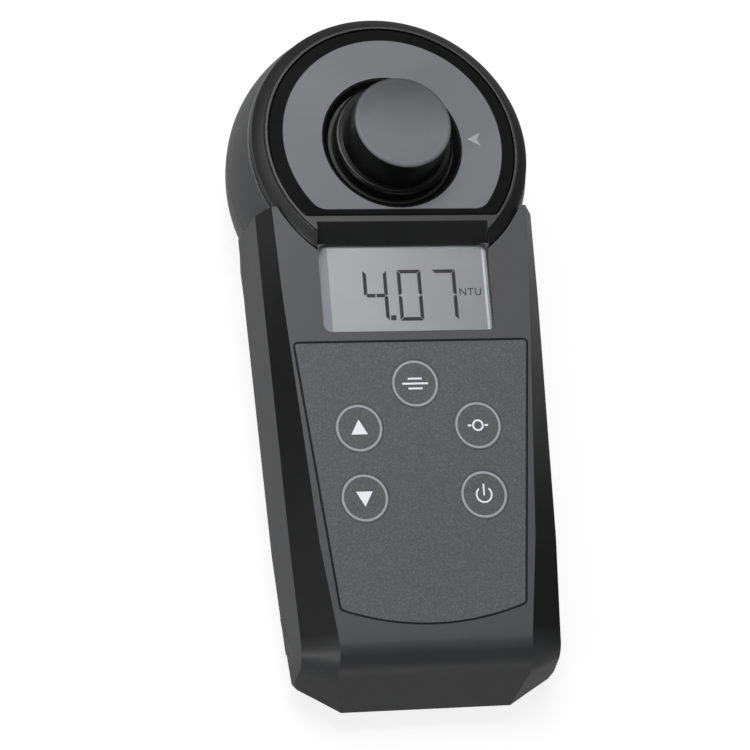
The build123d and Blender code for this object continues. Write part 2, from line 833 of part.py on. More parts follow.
# Sensor cable: flat band from one small board past the other and up to the main board
band_inner = port_end + sensor_board_thickness + band_slack
band_outer = band_inner + band_thickness
optics_z = face_height - optics_drop
board_under_z = (
    deck_z
    - (band_outer - shoulder_drop) * tan(slope)
    - (board_depth + board_thickness) / cos(slope)
)
with BuildPart() as sensor_cable:
    with BuildSketch(Plane.XY.offset(optics_z - band_half)):
        with Locations((0, head_y)):
            Circle(band_outer)
            Circle(band_inner, mode=Mode.SUBTRACT)
            with Locations((band_outer, 0)):
                Rectangle(2 * band_outer, 3 * band_outer, mode=Mode.SUBTRACT)
            with Locations((0, band_outer)):
                Rectangle(3 * band_outer, 2 * band_outer, mode=Mode.SUBTRACT)
            with Locations((-(port_end + sensor_board_thickness + band_outer) / 2, -band_half / 2)):
                Rectangle(band_outer - port_end - sensor_board_thickness, band_half)
            with Locations((0, -(port_end + sensor_board_thickness + band_outer) / 2)):
                Rectangle(2 * band_half, band_outer - port_end - sensor_board_thickness)
    extrude(amount=2 * band_half)
    with BuildSketch(Plane.XY.offset(optics_z - band_half)):
        with Locations((0, head_y - (band_inner + band_outer) / 2)):
            Rectangle(2 * band_half, band_outer - band_inner)
    extrude(amount=board_under_z - band_end_gap - optics_z + band_half)

# Sample vial: round glass body, sloping shoulder and narrow neck
vial_z = vial_foot - face_height
with BuildPart() as sample_vial:
    with BuildSketch(head_profile):
        with BuildLine():
            Polyline(
                (0, vial_z),
                (vial_radius - vial_corner, vial_z),
                (vial_radius, vial_z + vial_corner),
                (vial_radius, -vial_shoulder_drop),
                (neck_radius, -neck_foot_drop),
                (neck_radius, neck_rise),
                (neck_radius - vial_wall, neck_rise),
                (neck_radius - vial_wall, -neck_foot_drop - shoulder_inner_step),
                (vial_radius - vial_wall, -vial_shoulder_drop - shoulder_inner_step),
                (vial_radius - vial_wall, vial_z + vial_base),
                (0, vial_z + vial_base),
                close=True,
            )
        make_face()
    revolve(axis=head_axis)

# Vial cap and its sealing disc
cap_ceiling = neck_rise + liner_thickness
with BuildPart() as vial_cap:
    with BuildSketch(head_profile):
        with BuildLine():
            Polyline(
                (0, cap_ceiling),
                (neck_radius + thread_gap, cap_ceiling),
                (neck_radius + thread_gap, -cap_skirt_drop),
                (cap_radius, -cap_skirt_drop),
                (cap_radius, cap_ceiling + cap_wall - cap_edge),
                (cap_radius - cap_edge, cap_ceiling + cap_wall),
                (0, cap_ceiling + cap_wall),
                close=True,
            )
        make_face()
    revolve(axis=head_axis)
with BuildPart() as vial_cap_liner:
    with BuildSketch(Plane.XY.offset(face_height + neck_rise)):
        with Locations((0, head_y)):
            Circle(neck_radius)
    extrude(amount=liner_thickness)

# Light shield: tapered knob on a base flange, hollow from below
shield_ceiling = shield_rise - shield_wall
shield_bite = shield_edge * (1 - sqrt(0.5))
top_edge = shield_top_radius - shield_edge
with BuildPart() as light_shield:
    with BuildSketch(head_profile):
        with BuildLine():
            foot = -ring_floor_drop
            edge = shield_edge
            Line((0, shield_ceiling), (shield_top_radius - shield_wall, shield_ceiling))
            Line(
                (shield_top_radius - shield_wall, shield_ceiling),
                (shield_foot_radius - shield_wall, foot),
            )
            Line((shield_foot_radius - shield_wall, foot), (shield_flange_radius, foot))
            Line((shield_flange_radius, foot), (shield_flange_radius, shield_flange_rise - edge))
            ThreePointArc(
                (shield_flange_radius, shield_flange_rise - edge),
                (shield_flange_radius - shield_bite, shield_flange_rise - shield_bite),
                (shield_flange_radius - edge, shield_flange_rise),
            )
            Line((shield_flange_radius - edge, shield_flange_rise), (shield_foot_radius, shield_flange_rise))
            Line((shield_foot_radius, shield_flange_rise), (shield_top_radius, shield_rise - edge))
            ThreePointArc(
                (shield_top_radius, shield_rise - edge),
                (shield_top_radius - shield_bite, shield_rise - shield_bite),
                (top_edge, shield_rise),
            )
            Line((top_edge, shield_rise), (0, shield_rise))
            Line((0, shield_rise), (0, shield_ceiling))
        make_face()
    revolve(axis=head_axis)

# Display: clear pane, segment display and the contact strips under it
with BuildPart() as lcd_window:
    with BuildSketch(deck.offset(-lcd_recess)):
        with Locations((0, lcd_middle)):
            Rectangle(2 * (lcd_half_width - fit), lcd_length - 2 * fit)
    extrude(amount=-lcd_pane)
with BuildPart() as lcd_module:
    with BuildSketch(deck.offset(-lcd_recess - lcd_pane)):
        with Locations((0, lcd_middle)):
            Rectangle(2 * (lcd_half_width - fit), lcd_length - 2 * fit)
    extrude(amount=-lcd_thickness)
strip_width = 1.8
strip_margin = 0.3
strip_half_length = 0.8 * lcd_half_width
with BuildPart() as lcd_connectors:
    with BuildSketch(deck.offset(-board_depth)):
        with Locations((0, lcd_middle)):
            with GridLocations(0, lcd_length - 2 * (lcd_ledge + strip_margin) - strip_width, 1, 2):
                Rectangle(2 * strip_half_length, strip_width)
    extrude(amount=board_depth - lcd_floor)

# Keypad sheet with a hole for each key
with BuildPart() as keypad_overlay:
    with BuildSketch(deck.offset(-pad_thickness)):
        add(pad_outline(pad_gap))
        with Locations(*key_places.values()):
            Circle(key_radius + key_gap, mode=Mode.SUBTRACT)
    extrude(amount=pad_thickness)
    pad_top_face = keypad_overlay.faces().sort_by(Axis(deck.origin, deck.z_dir))[-1]
    chamfer(pad_top_face.outer_wire().edges(), pad_edge)


def make_key(centre):
    """A round key: disc in the keypad sheet, flange under the shell and a stem over its dome."""
    with BuildPart() as key:
        with BuildSketch(deck.offset(-wall)):
            with Locations(centre):
                Circle(key_radius)
        extrude(amount=wall)
        chamfer(key.faces().sort_by(Axis(deck.origin, deck.z_dir))[-1].edges(), key_edge)
        with BuildSketch(deck.offset(-wall)):
            with Locations(centre):
                Circle(key_flange)
        extrude(amount=-key_flange_thickness)
        with BuildSketch(deck.offset(-wall - key_flange_thickness)):
            with Locations(centre):
                Circle(key_stem_radius)
        extrude(amount=wall + key_flange_thickness - key_foot)
    return key.part


# Main board, its chips, the snap domes and the board screws
with BuildPart() as main_board:
    with BuildSketch(deck.offset(-board_depth - board_thickness)):
        with Locations((0, (down(board_top) + down(board_bottom)) / 2)):
            Rectangle(2 * board_half_width, down(board_top) - down(board_bottom))
        with Locations(*board_posts):
            Circle(board_screw_radius + fit, mode=Mode.SUBTRACT)
    extrude(amount=board_thickness)
# Chips under the board: place across, place below the head's axis, width, length
chip_height = 1.2
chips = [(0, 46.0, 10.0, 10.0), (-12.0, 36.0, 5.0, 6.0), (11.0, 34.0, 6.0, 4.0), (13.0, 66.0, 4.0, 5.0)]
with BuildPart() as board_chips:
    for x, drop, width, length in chips:
        with BuildSketch(deck.offset(-board_depth - board_thickness)):
            with Locations((x, down(drop))):
                Rectangle(width, length)
        extrude(amount=-chip_height)
with BuildPart() as board_screws:
    for centre in board_posts:
        with BuildSketch(deck.offset(-board_depth - board_thickness)):
            with Locations(centre):
                Circle(board_screw_head_radius)
        extrude(amount=-board_screw_head_height)
        with BuildSketch(deck.offset(-board_depth - board_thickness)):
            with Locations(centre):
                Circle(board_screw_radius)
        extrude(amount=board_depth + board_thickness - board_screw_cover)
with BuildPart() as key_domes:
    with BuildSketch(deck.offset(-board_depth)):
        with Locations(*key_places.values()):
            Circle(dome_radius)
    extrude(amount=dome_height, taper=dome_taper)

# Battery cells, side by side, every second one turned round
bay_upper_y = place(bay_top)
bay_lower_y = place(bay_bottom)
cell_xs = [(index - 1.5) * cell_pitch for index in range(4)]


def cell_plane(index, from_end):
    """Plane across a cell, at a distance from the contact that its button touches."""
    facing = 1 if index % 2 == 0 else -1
    button_y = bay_upper_y if facing > 0 else bay_lower_y
    origin = (cell_xs[index], button_y - facing * (contact_plate + from_end), cell_z)
    return Plane(origin=origin, x_dir=(1, 0, 0), z_dir=(0, -facing, 0))


def make_cell(index):
    """A cylindrical cell with its button."""
    with BuildPart() as cell:
        with BuildSketch(cell_plane(index, cell_button_height)):
            Circle(cell_radius)
        extrude(amount=cell_length - cell_button_height)
        with BuildSketch(cell_plane(index, 0)):
            Circle(cell_button_radius)
        extrude(amount=cell_button_height)
    return cell.part


with BuildPart() as battery_plates:
    for index in range(4):
        for from_end in (-contact_plate, cell_length + spring_length):
            with BuildSketch(cell_plane(index, from_end)):
                Rectangle(contact_size, contact_size)
            extrude(amount=contact_plate)
with BuildPart() as battery_springs:
    for index in range(4):
        start = cell_plane(index, cell_length + spring_wire)
        pitch = (spring_length - 2 * spring_wire) / spring_turns
        helix = start.location * Helix(pitch, spring_length - 2 * spring_wire, spring_radius)
        with BuildSketch(Plane(origin=helix @ 0, z_dir=helix % 0)):
            RegularPolygon(spring_wire, 4)
        sweep(path=helix, is_frenet=True)

# Battery cover with its seal, screws and threaded inserts
with BuildPart() as battery_cover:
    with BuildSketch(Plane.XY):
        add(cover_outline(0.0))
    extrude(amount=cover_thickness)
    for y in cover_screw_ys:
        with BuildSketch(Plane.XY):
            with Locations((0, y)):
                Circle(screw_radius + screw_clearance)
        extrude(amount=cover_thickness, mode=Mode.SUBTRACT)
        with BuildSketch(Plane.XY):
            with Locations((0, y)):
                Circle(screw_head_radius + screw_clearance)
        extrude(amount=cover_thickness / 2, mode=Mode.SUBTRACT)
with BuildPart() as battery_cover_seal:
    with BuildSketch(Plane.XY.offset(cover_thickness)):
        with Locations((0, bay_middle_y)):
            seal_lip = cover_lip - seal_inset
            RectangleRounded(2 * (bay_half + seal_lip), bay_length + 2 * seal_lip, cover_corner)
            Rectangle(2 * (bay_half + seal_inset), bay_length + 2 * seal_inset, mode=Mode.SUBTRACT)
    extrude(amount=seal_thickness)
cover_screw_tip = cover_seat + insert_height - screw_end_gap
with BuildPart() as cover_screws:
    for y in cover_screw_ys:
        with BuildSketch(Plane.XY.offset(fit)):
            with Locations((0, y)):
                Circle(screw_head_radius)
        extrude(amount=cover_thickness / 2 - fit)
        with BuildSketch(Plane.XY.offset(cover_thickness / 2)):
            with Locations((0, y)):
                Circle(screw_radius)
        extrude(amount=cover_screw_tip - cover_thickness / 2)
with BuildPart() as cover_inserts:
    with BuildSketch(Plane.XY.offset(cover_seat)):
        with Locations(*[(0, y) for y in cover_screw_ys]):
            Circle(insert_radius)
            Circle(screw_radius, mode=Mode.SUBTRACT)
    extrude(amount=insert_height)

# Case screws, from the back into the front shell
with BuildPart() as case_screws:
    for x, y, seat in case_screws_at:
        with BuildSketch(Plane.XY.offset(seat)):
            with Locations((x, y)):
                Circle(screw_head_radius)
        extrude(amount=-screw_head_height)
        with BuildSketch(Plane.XY.offset(seat)):
            with Locations((x, y)):
                Circle(screw_radius)
        extrude(amount=screw_length)

pieces = {
    "front_shell": front_shell.part,
    "rear_shell": rear_shell.part,
    "housing_gasket": housing_gasket.part,
    "head_bezel": head_bezel.part,
    "head_overlay": head_overlay.part,
    "well_ring": well_ring.part,
    "optics_block": optics_block.part,
    "ir_led": ir_led.part,
    "scatter_detector": scatter_detector.part,
    "sensor_boards": sensor_boards.part,
    "sensor_cable": sensor_cable.part,
    "sample_vial": sample_vial.part,
    "vial_cap": vial_cap.part,
    "vial_cap_liner": vial_cap_liner.part,
    "light_shield": light_shield.part,
    "lcd_window": lcd_window.part,
    "lcd_module": lcd_module.part,
    "lcd_connectors": lcd_connectors.part,
    "keypad_overlay": keypad_overlay.part,
    "main_board": main_board.part,
    "board_chips": board_chips.part,
    "board_screws": board_screws.part,
    "key_domes": key_domes.part,
    "battery_plates": battery_plates.part,
    "battery_springs": battery_springs.part,
    "battery_cover": battery_cover.part,
    "battery_cover_seal": battery_cover_seal.part,
    "cover_screws": cover_screws.part,
    "cover_inserts": cover_inserts.part,
    "case_screws": case_screws.part,
}
for name, centre in key_places.items():
    pieces[f"key_{name}"] = make_key(centre)
for index in range(4):
    pieces[f"battery_{index + 1}"] = make_cell(index)
for name, piece in pieces.items():
    piece.label = name
    export_step(piece, f"parts/{name}.step")
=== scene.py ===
"""Looks of the handheld turbidity meter: finishes, printed marks, display figures, softened
mouldings, screws with cross recesses and the fluted cap of the vial.

Metres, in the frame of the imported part. Named lengths are in millimetres and are multiplied by
MM where they are used. The meter lies on its back, face up, with its head towards +Y.
"""
from math import cos, radians, sin, tan

import bpy
from mathutils import Matrix, Vector


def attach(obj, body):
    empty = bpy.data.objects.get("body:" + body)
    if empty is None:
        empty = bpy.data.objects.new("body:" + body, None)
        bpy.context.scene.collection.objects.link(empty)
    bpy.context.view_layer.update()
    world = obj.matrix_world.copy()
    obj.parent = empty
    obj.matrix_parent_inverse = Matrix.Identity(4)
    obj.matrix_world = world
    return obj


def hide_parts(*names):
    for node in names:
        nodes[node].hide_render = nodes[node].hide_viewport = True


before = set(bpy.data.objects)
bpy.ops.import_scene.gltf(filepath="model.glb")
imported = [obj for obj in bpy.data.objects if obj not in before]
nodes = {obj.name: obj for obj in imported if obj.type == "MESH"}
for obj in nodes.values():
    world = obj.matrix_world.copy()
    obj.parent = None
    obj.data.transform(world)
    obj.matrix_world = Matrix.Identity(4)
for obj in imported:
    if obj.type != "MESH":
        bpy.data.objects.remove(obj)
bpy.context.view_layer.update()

MM = 0.001
scene = bpy.context.scene

# Places that the marks are set out from, in millimetres
HEAD_Y = 43.8
FACE_Z = 36.0
SHOULDER_DROP = 15.1
DECK_Z = 35.25
SLOPE = radians(8.35)

# Printed field of the head overlay: a disc cut by a chord, set out from the head's axis
FIELD_X = 0.2
FIELD_Y = 0.3
FIELD_RADIUS = 24.9
FIELD_CHORD = 16.2
FIELD_CORNER = 1.3
FIELD_BLUR = 0.08

# Stations along Y between which painted shade changes on the mouldings round the rolled lower end: the
# shell's colour darkens there, and the facets' painted shade gives way
SHELL_ROLL = (-65.0, -69.5)
FACET_ROLL = (-64.0, -69.5)

# Light shield: heights between which its side becomes its top, and stations where painted shade darkens
# the top
SHIELD_EDGE = (45.65, 45.92)
SHIELD_SHADE = (40.0, 53.0)

# Stations across the display: gradient of painted reflection, dark strip at its left, pale line at its
# right that is a painted highlight
DISPLAY_GRADIENT = (-19.0, 19.0)
DISPLAY_STRIP = (-17.0, -16.8)
DISPLAY_GLINT_START = (18.1, 18.4)
DISPLAY_GLINT_END = (18.7, 18.8)

# Stations between which the two colours of a battery's sleeve meet
SLEEVE_BAND = (-41.0, -40.9)

# Range that most values of a noise pattern lie in
NOISE_RANGE = (0.3, 0.7)


def deck_point(x, drop, height=0.0):
    """A point of the sloping front, x across and drop below the head's axis, in metres."""
    y = HEAD_Y - drop - height * sin(SLOPE)
    z = DECK_Z - (drop - SHOULDER_DROP) * tan(SLOPE) + height * cos(SLOPE)
    return Vector((x, y, z)) * MM


# Camera and framing of the photograph
camera_data = bpy.data.cameras.new("camera")
camera_data.lens = 163.0
camera_data.sensor_width = 36.0
camera_data.clip_end = 20.0
camera = bpy.data.objects.new("camera", camera_data)
camera.location = (-0.200922, -0.274520, 0.687001)
camera.rotation_euler = (radians(22.9703), radians(-13.5863), radians(-6.8933))
scene.collection.objects.link(camera)
scene.camera = camera
scene.view_settings.view_transform = "Standard"


# Node groups that several finishes share
def new_group(name, inputs, outputs):
    group = bpy.data.node_groups.new(name, "ShaderNodeTree")
    for label, value in inputs:
        socket = group.interface.new_socket(label, in_out="INPUT", socket_type="NodeSocketFloat")
        socket.default_value = value
    for label, kind in outputs:
        group.interface.new_socket(label, in_out="OUTPUT", socket_type=kind)
    source = group.nodes.new("NodeGroupInput")
    target = group.nodes.new("NodeGroupOutput")
    return group, source, target


def math_node(tree, operation, first, second=None):
    node = tree.nodes.new("ShaderNodeMath")
    node.operation = operation
    for index, value in enumerate((first, second)):
        if value is None:
            continue
        if isinstance(value, (int, float)):
            node.inputs[index].default_value = value
        else:
            tree.links.new(value, node.inputs[index])
    return node.outputs[0]


def hypotenuse(tree, first, second):
    squares = [math_node(tree, "POWER", value, 2.0) for value in (first, second)]
    return math_node(tree, "SQRT", math_node(tree, "ADD", *squares))


def object_coordinates(tree):
    return tree.nodes.new("ShaderNodeTexCoord").outputs["Object"]


def object_axes(tree):
    """Object coordinates, split into x, y and z."""
    split = tree.nodes.new("ShaderNodeSeparateXYZ")
    tree.links.new(object_coordinates(tree), split.inputs[0])
    return split.outputs[0], split.outputs[1], split.outputs[2]


def noise(tree, scale, detail=2.0, roughness=0.5, vector=None):
    node = tree.nodes.new("ShaderNodeTexNoise")
    node.inputs["Detail"].default_value = detail
    node.inputs["Roughness"].default_value = roughness
    if isinstance(scale, (int, float)):
        node.inputs["Scale"].default_value = scale
    else:
        tree.links.new(scale, node.inputs["Scale"])
    tree.links.new(vector or object_coordinates(tree), node.inputs["Vector"])
    return node.outputs["Fac"]


def build_grain():
    """Spark-eroded texture of moulded plastic: fine grain over a broader unevenness."""
    group, source, target = new_group(
        "moulded_grain",
        [("Scale", 3000.0), ("Waviness", 0.3)],
        [("Height", "NodeSocketFloat"), ("Patch", "NodeSocketFloat")],
    )
    fine = noise(group, source.outputs["Scale"], 3.0, 0.65)
    broad = noise(group, 90.0, 2.0)
    wave = math_node(group, "MULTIPLY", broad, source.outputs["Waviness"])
    group.links.new(math_node(group, "ADD", fine, wave), target.inputs["Height"])
    group.links.new(noise(group, 35.0, 4.0, 0.6), target.inputs["Patch"])
    return group


def build_speckle():
    """Tiny light flecks of a textured film."""
    group, source, target = new_group(
        "film_speckle", [("Scale", 2600.0), ("Share", 0.5)], [("Flecks", "NodeSocketFloat")]
    )
    cells = group.nodes.new("ShaderNodeTexVoronoi")
    group.links.new(source.outputs["Scale"], cells.inputs["Scale"])
    group.links.new(object_coordinates(group), cells.inputs["Vector"])
    separate = group.nodes.new("ShaderNodeSeparateColor")
    group.links.new(cells.outputs["Color"], separate.inputs["Color"])
    fleck = math_node(group, "GREATER_THAN", separate.outputs[0], source.outputs["Share"])
    strength = math_node(group, "MULTIPLY", fleck, separate.outputs[1])
    group.links.new(strength, target.inputs["Flecks"])
    return group


GRAIN = build_grain()
SPECKLE = build_speckle()


def grey(level):
    """A grey that is slightly cool, like the plastics of the meter."""
    return (0.96 * level, 0.985 * level, 1.05 * level, 1.0)


def start_material(name, colour, roughness, metallic=0.0):
    material = bpy.data.materials.new(name)
    material.use_nodes = True
    tree = material.node_tree
    shader = tree.nodes["Principled BSDF"]
    shader.inputs["Base Color"].default_value = colour
    shader.inputs["Roughness"].default_value = roughness
    shader.inputs["Metallic"].default_value = metallic
    return material, tree, shader


def add_bump(tree, shader, height, distance, strength=1.0):
    bump = tree.nodes.new("ShaderNodeBump")
    bump.inputs["Distance"].default_value = distance
    bump.inputs["Strength"].default_value = strength
    tree.links.new(height, bump.inputs["Height"])
    tree.links.new(bump.outputs["Normal"], shader.inputs["Normal"])


def mix_colours(tree, factor, low, high):
    node = tree.nodes.new("ShaderNodeMix")
    node.data_type = "RGBA"
    tree.links.new(factor, node.inputs["Factor"])
    for socket, value in ((node.inputs["A"], low), (node.inputs["B"], high)):
        if isinstance(value, tuple):
            socket.default_value = value
        else:
            tree.links.new(value, socket)
    return node.outputs["Result"]


def value_range(tree, value, low, high, to_low, to_high):
    node = tree.nodes.new("ShaderNodeMapRange")
    tree.links.new(value, node.inputs["Value"])
    labels = ("From Min", "From Max", "To Min", "To Max")
    for label, number in zip(labels, (low, high, to_low, to_high)):
        node.inputs[label].default_value = number
    return node.outputs["Result"]


def between(tree, value, stations, to_low, to_high):
    """Goes from one value to the other between two stations in millimetres."""
    return value_range(tree, value, stations[0] * MM, stations[1] * MM, to_low, to_high)


def spread(tree, pattern, low, high):
    """Spreads a noise pattern over the values from low to high."""
    return value_range(tree, pattern, *NOISE_RANGE, low, high)


def place_group(tree, group_tree, values):
    """A shared node group in a material, with the material's own values on its inputs."""
    group = tree.nodes.new("ShaderNodeGroup")
    group.node_tree = group_tree
    for label, value in values.items():
        group.inputs[label].default_value = value
    return group


def plastic(name, low, high, roughness, grain_scale, grain_depth, specular=0.5, end_shade_share=1.0):
    """Moulded plastic: slightly uneven colour and gloss over a fine grain.

    A share under 1 paints shade round the rolled lower end, darkening the colour to that share.
    """
    material, tree, shader = start_material(name, low, roughness)
    group = place_group(tree, GRAIN, {"Scale": grain_scale})
    colour = mix_colours(tree, group.outputs["Patch"], low, high)
    # Painted shade: the colour darkens round the rolled lower end
    if end_shade_share < 1.0:
        share = between(tree, object_axes(tree)[1], SHELL_ROLL, 1.0, end_shade_share)
        colour = mix_colours(tree, share, grey(0.0), colour)
    tree.links.new(colour, shader.inputs["Base Color"])
    gloss = spread(tree, group.outputs["Patch"], roughness - 0.04, roughness + 0.05)
    tree.links.new(gloss, shader.inputs["Roughness"])
    shader.inputs["Specular IOR Level"].default_value = specular
    add_bump(tree, shader, group.outputs["Height"], grain_depth)
    return material


def film(name, base, fleck, roughness):
    """Textured keypad film with fine flecks."""
    material, tree, shader = start_material(name, base, roughness)
    group = place_group(tree, SPECKLE, {"Scale": 4600.0, "Share": 0.45})
    tree.links.new(mix_colours(tree, group.outputs["Flecks"], base, fleck), shader.inputs["Base Color"])
    add_bump(tree, shader, group.outputs["Flecks"], 0.00002)
    return material


def metal(name, low, high, roughness):
    """Bare metal with slightly uneven colour and gloss."""
    material, tree, shader = start_material(name, low, roughness, 1.0)
    patch = noise(tree, 700.0, 3.0)
    tree.links.new(mix_colours(tree, patch, low, high), shader.inputs["Base Color"])
    tree.links.new(spread(tree, patch, roughness, roughness + 0.12), shader.inputs["Roughness"])
    add_bump(tree, shader, patch, 0.00001)
    return material


def clear(name, tint):
    """Clear glass or acrylic with a trace of haze."""
    material, tree, shader = start_material(name, tint, 0.0)
    shader.inputs["Transmission Weight"].default_value = 1.0
    shader.inputs["IOR"].default_value = 1.49
    haze = noise(tree, 60.0, 2.0)
    tree.links.new(spread(tree, haze, 0.0, 0.03), shader.inputs["Roughness"])
    return material


def overlay_material():
    """Glossy plate, printed on its back: near-black border and a grey field with round corners."""
    material, tree, shader = start_material("printed_overlay", grey(0.006), 0.06)
    x, y, _ = object_axes(tree)
    across = math_node(tree, "SUBTRACT", x, FIELD_X * MM)
    along = math_node(tree, "SUBTRACT", y, (HEAD_Y + FIELD_Y) * MM)
    radius = hypotenuse(tree, across, along)
    chord = HEAD_Y - FIELD_CHORD
    past_arc = math_node(tree, "SUBTRACT", radius, (FIELD_RADIUS - FIELD_CORNER) * MM)
    past_chord = math_node(tree, "SUBTRACT", (chord + FIELD_CORNER) * MM, y)
    outward = hypotenuse(
        tree, math_node(tree, "MAXIMUM", past_arc, 0.0), math_node(tree, "MAXIMUM", past_chord, 0.0)
    )
    edge = (FIELD_CORNER - FIELD_BLUR, FIELD_CORNER + FIELD_BLUR)
    field = between(tree, outward, edge, 1.0, 0.0)
    patch = noise(tree, 30.0, 3.0)
    lighter = mix_colours(tree, patch, grey(0.140), grey(0.178))
    tree.links.new(mix_colours(tree, field, grey(0.003), lighter), shader.inputs["Base Color"])
    shader.inputs["Coat Weight"].default_value = 0.5
    tree.links.new(spread(tree, patch, 0.05, 0.12), shader.inputs["Roughness"])
    return material


def shield_material():
    """Black moulding, satin on the grip, with a top that is paler partly in its own grey and partly by
    a painted highlight, and that darkens towards the head end by painted shade.
    """
    material, tree, shader = start_material("shield_black", grey(0.008), 0.35)
    group = place_group(tree, GRAIN, {"Scale": 5000.0})
    _, y, z = object_axes(tree)
    top = between(tree, z, SHIELD_EDGE, 0.0, 1.0)
    # Painted shade: the top darkens towards the head end
    painted_top_shade = between(tree, y, SHIELD_SHADE, 1.0, 0.45)
    uneven = spread(tree, group.outputs["Patch"], 0.85, 1.15)
    # The top's paler grey is partly its own tone and partly a painted highlight
    top_tone_and_sheen = mix_colours(tree, math_node(tree, "MULTIPLY", painted_top_shade, uneven), grey(0.0), grey(0.125))
    tree.links.new(mix_colours(tree, top, grey(0.003), top_tone_and_sheen), shader.inputs["Base Color"])
    tree.links.new(value_range(tree, top, 0.0, 1.0, 0.30, 0.5), shader.inputs["Roughness"])
    shader.inputs["Specular IOR Level"].default_value = 0.2
    add_bump(tree, shader, group.outputs["Height"], 0.000012)
    return material


def facet_material():
    """Dark facet with less roughness than the shell, its darkness painted shade, that becomes more like
    the shell where it rolls over the lower end.
    """
    material, tree, shader = start_material("facet_shaded_black", grey(0.006), 0.35)
    group = place_group(tree, GRAIN, {"Scale": 4200.0})
    rolled = between(tree, object_axes(tree)[1], FACET_ROLL, 0.0, 1.0)
    # Painted shade: the facets are darker than the shell above the rolled end
    facet_shade_colour = mix_colours(tree, group.outputs["Patch"], grey(0.004), grey(0.007))
    tree.links.new(mix_colours(tree, rolled, facet_shade_colour, grey(0.026)), shader.inputs["Base Color"])
    tree.links.new(value_range(tree, rolled, 0.0, 1.0, 0.33, 0.40), shader.inputs["Roughness"])
    shader.inputs["Specular IOR Level"].default_value = 0.4
    add_bump(tree, shader, group.outputs["Height"], 0.00001)
    return material


def display_material():
    """Reflective display: pale grey, darker to the right as a painted reflection, with a dark strip and
    a pale line that is a painted highlight.
    """
    material, tree, shader = start_material("display_grey", grey(0.45), 0.4)
    x = object_axes(tree)[0]
    # Painted reflection: the display's grey darkens from left to right
    painted_sheen = between(tree, x, DISPLAY_GRADIENT, 0.0, 1.0)
    lit = mix_colours(tree, painted_sheen, (0.59, 0.597, 0.604, 1.0), (0.37, 0.377, 0.384, 1.0))
    strip = between(tree, x, DISPLAY_STRIP, 1.0, 0.0)
    framed = mix_colours(tree, strip, lit, grey(0.36))
    # Painted highlight: a pale line of the glass edge at the display's right
    glint_start = between(tree, x, DISPLAY_GLINT_START, 0.0, 1.0)
    glint_end = between(tree, x, DISPLAY_GLINT_END, 1.0, 0.0)
    line = math_node(tree, "MULTIPLY", glint_start, glint_end)
    pale = mix_colours(tree, line, framed, grey(0.85))
    grain = spread(tree, noise(tree, 8000.0, 1.0), 0.0, 0.12)
    tree.links.new(mix_colours(tree, grain, pale, grey(0.3)), shader.inputs["Base Color"])
    return material


def board_material():
    """Green solder mask with copper runs under it."""
    material, tree, shader = start_material("board_green", (0.01, 0.10, 0.04, 1.0), 0.3)
    runs = tree.nodes.new("ShaderNodeTexBrick")
    runs.inputs["Scale"].default_value = 350.0
    runs.inputs["Color1"].default_value = (0.012, 0.12, 0.05, 1.0)
    runs.inputs["Color2"].default_value = (0.008, 0.085, 0.035, 1.0)
    runs.inputs["Mortar"].default_value = (0.03, 0.20, 0.08, 1.0)
    tree.links.new(object_coordinates(tree), runs.inputs["Vector"])
    tree.links.new(runs.outputs["Color"], shader.inputs["Base Color"])
    add_bump(tree, shader, runs.outputs["Fac"], 0.00002)
    return material


def cell_material():
    """Printed sleeve of a battery: two plain bands."""
    material, tree, shader = start_material("cell_sleeve", grey(0.05), 0.3)
    band = between(tree, object_axes(tree)[1], SLEEVE_BAND, 0.0, 1.0)
    patch = noise(tree, 400.0, 2.0)
    dark = mix_colours(tree, patch, grey(0.03), grey(0.05))
    tree.links.new(mix_colours(tree, band, dark, (0.55, 0.30, 0.10, 1.0)), shader.inputs["Base Color"])
    return material


# Finishes: darker and lighter colour, roughness, scale and depth of the grain
# The shell's colour takes painted shade round the rolled lower end
shell_black = plastic("shell_black", grey(0.038), grey(0.048), 0.43, 3200.0, 0.00002, end_shade_share=0.5)
facet_shaded_black = facet_material()
bezel_black = plastic("bezel_black", grey(0.006), grey(0.009), 0.38, 4200.0, 0.00001)
ring_black = plastic("ring_black", grey(0.002), grey(0.003), 0.6, 4000.0, 0.00001, specular=0.08)
block_black = plastic("block_black", grey(0.008), grey(0.012), 0.6, 2500.0, 0.00002)
chip_black = plastic("chip_black", grey(0.02), grey(0.03), 0.5, 5000.0, 0.00001)
seal_rubber = plastic("seal_rubber", grey(0.012), grey(0.02), 0.65, 2600.0, 0.00001)
strip_rubber = plastic("strip_rubber", grey(0.20), grey(0.35), 0.6, 6000.0, 0.00001)
liner_white = plastic("liner_white", grey(0.70), grey(0.78), 0.5, 1500.0, 0.00002)
cap_black = plastic("cap_black", grey(0.010), grey(0.014), 0.35, 3000.0, 0.00001)
lamp_epoxy = plastic(
    "lamp_epoxy", (0.06, 0.05, 0.12, 1.0), (0.09, 0.07, 0.16, 1.0), 0.15, 900.0, 0.000005
)
cable_film = plastic(
    "cable_film", (0.40, 0.17, 0.03, 1.0), (0.50, 0.24, 0.05, 1.0), 0.3, 900.0, 0.000005
)
keypad_film = film("keypad_film", grey(0.054), grey(0.092), 0.6)
steel = metal("screw_steel", grey(0.42), grey(0.52), 0.28)
spring_steel = metal("spring_steel", grey(0.60), grey(0.68), 0.22)
brass = metal("insert_brass", (0.60, 0.42, 0.16, 1.0), (0.68, 0.50, 0.22, 1.0), 0.3)
glass = clear("vial_glass", (0.93, 0.97, 0.96, 1.0))
pane = clear("window_acrylic", (0.97, 0.98, 0.98, 1.0))
overlay_print = overlay_material()
shield_black = shield_material()
display_grey = display_material()
board_green = board_material()
cell_sleeve = cell_material()
mark_grey = plastic("mark_grey", grey(0.25), grey(0.29), 0.5, 5000.0, 0.000004)
